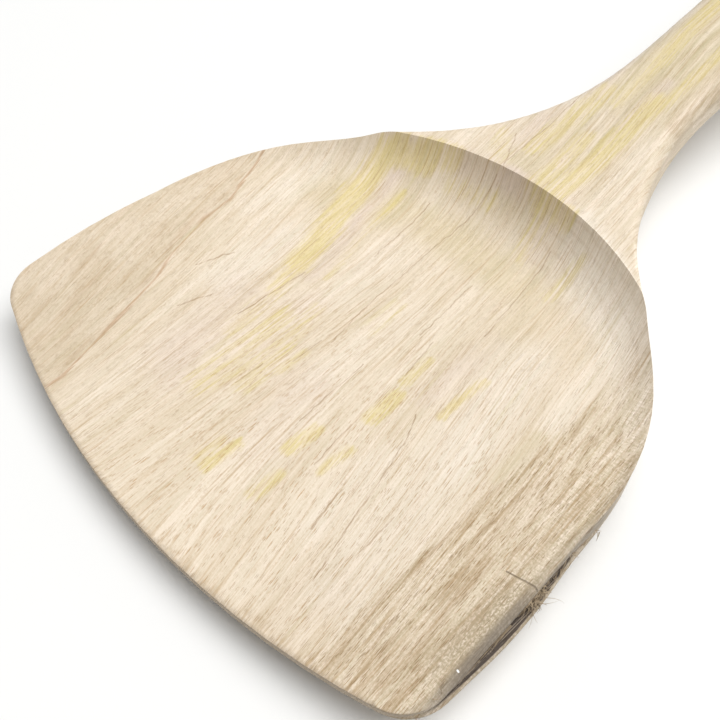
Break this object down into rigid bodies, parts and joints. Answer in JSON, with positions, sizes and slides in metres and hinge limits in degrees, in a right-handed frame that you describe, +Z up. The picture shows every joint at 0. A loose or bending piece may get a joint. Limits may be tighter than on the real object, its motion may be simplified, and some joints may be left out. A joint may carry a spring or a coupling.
{
  "type": "wooden spatula",
  "caption": "One-piece wooden wok spatula with a dished, wide blade, a crisp round back rim, rounded shoulders, a narrow neck and an arched handle with a hanging hole.",
  "frame": {"origin": "centre of the footprint, on the surface that the spatula lies on", "axes": "+X across the blade, +Y from the blade towards the end of the handle, +Z up, out of the dish"},
  "size_m": [0.1, 0.34, 0.0303],
  "materials": {
    "wood": "sanded and lightly oiled, worn"
  },
  "bodies": {
    "root": {"spatula_body": "wood"}
  },
  "joints": []
}
